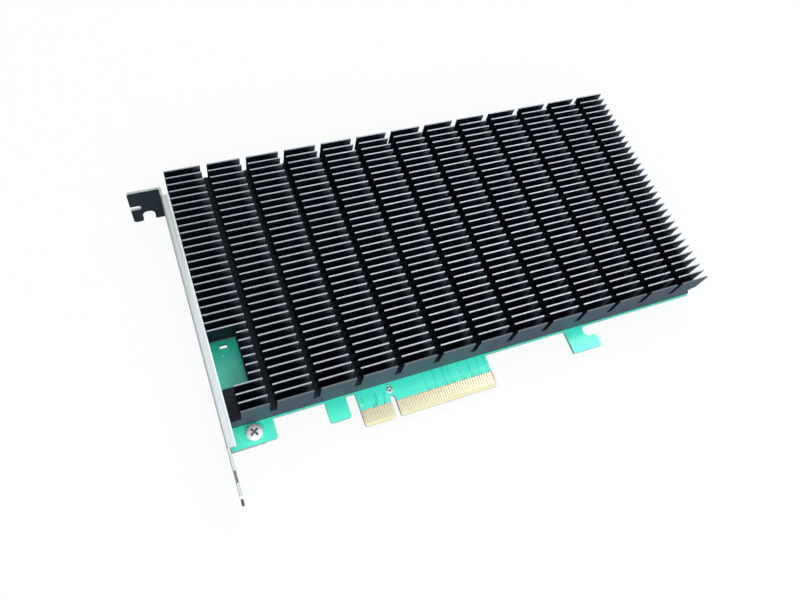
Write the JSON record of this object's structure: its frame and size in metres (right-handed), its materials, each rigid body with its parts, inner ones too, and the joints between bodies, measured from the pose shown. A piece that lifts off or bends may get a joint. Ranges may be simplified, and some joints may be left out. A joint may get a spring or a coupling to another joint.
{
  "type": "nvme adapter card",
  "caption": "Edge-connector circuit board under a full-length black finned heat sink that covers its M.2 drive seats and lane switch, carried by a plated slot bracket.",
  "frame": {"origin": "centre of the key notch on the line of the contact tips, halfway through the board", "axes": "+X along the card away from the bracket, +Y from the contacts to the top edge, +Z out of the component side"},
  "size_m": [0.2078, 0.124, 0.0201],
  "materials": {
    "board_green": "glossy green solder mask on glass-epoxy laminate",
    "contact_gold": "pale gold plating",
    "black_anodised": "black anodised, satin, fin tips catching light",
    "bracket_plating": "bright nickel plating, faint rolling grain",
    "screw_plating": "bright nickel plating",
    "chip_resin": "matt black moulded resin",
    "chip_lid": "dull nickel-plated lid on a green substrate",
    "thermal_pad": "soft grey silicone",
    "socket_black": "black glass-filled nylon",
    "standoff_brass": "tinned brass",
    "inductor_grey": "pressed iron powder",
    "capacitor_resin": "black moulded resin with tinned ends",
    "capacitor_tan": "fired ceramic with tinned ends",
    "crystal_lid": "nickel lid",
    "led_white": "milky resin"
  },
  "bodies": {
    "root": {"circuit_board": "board_green", "contacts_component_side": "contact_gold", "contacts_solder_side": "contact_gold", "heat_sink": "black_anodised", "io_bracket": "bracket_plating", "bracket_screw_lower": "screw_plating", "bracket_screw_upper": "screw_plating", "switch_chip": "chip_lid", "switch_thermal_pad": "thermal_pad", "inductors": "inductor_grey", "bulk_capacitors": "capacitor_resin", "voltage_regulators": "chip_resin", "ceramic_capacitors": "capacitor_tan", "underside_capacitors": "capacitor_tan", "clock_generator": "chip_resin", "crystal": "crystal_lid", "flash_chip": "chip_resin", "status_led": "led_white", "m2_socket_1": "socket_black", "m2_standoff_1": "standoff_brass", "ssd_thermal_pad_1": "thermal_pad", "m2_socket_2": "socket_black", "m2_standoff_2": "standoff_brass", "ssd_thermal_pad_2": "thermal_pad", "m2_socket_3": "socket_black", "m2_standoff_3": "standoff_brass", "ssd_thermal_pad_3": "thermal_pad", "m2_socket_4": "socket_black", "m2_standoff_4": "standoff_brass", "ssd_thermal_pad_4": "thermal_pad"}
  },
  "joints": []
}
